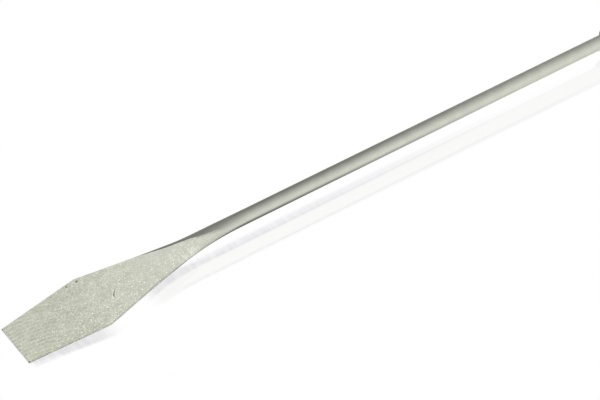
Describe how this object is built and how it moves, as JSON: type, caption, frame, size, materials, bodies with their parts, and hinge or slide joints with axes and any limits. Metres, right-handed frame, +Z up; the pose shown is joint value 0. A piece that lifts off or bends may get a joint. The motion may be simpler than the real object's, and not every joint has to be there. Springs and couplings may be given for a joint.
{
  "type": "sculpting spatula",
  "caption": "Long slim sculpting spatula: flat flared steel blade cranked down from a straight round shank, set in a turned wooden handle with a plated ferrule and a hanging hole.",
  "frame": {"origin": "on the plane that the blade's tip and the handle's belly rest on, below the middle of the tool's length", "axes": "+X along the tool from the blade's tip to the butt of the handle, +Y across the blade, +Z up out of the blade's upper face"},
  "size_m": [0.26, 0.014, 0.0092],
  "materials": {
    "blade_steel": "bead-blasted blade faces, satin drawn shank",
    "nickel_plate": "satin nickel plate on a drawn brass ferrule",
    "brass": "lightly tarnished brass",
    "epoxy": "cured amber epoxy",
    "beech": "turned beech, clear lacquer"
  },
  "bodies": {
    "root": {"spatula_blade": "blade_steel", "ferrule": "nickel_plate", "ferrule_rivet": "brass", "tang_bond": "epoxy", "handle": "beech", "hanging_eyelet": "brass"}
  },
  "joints": []
}
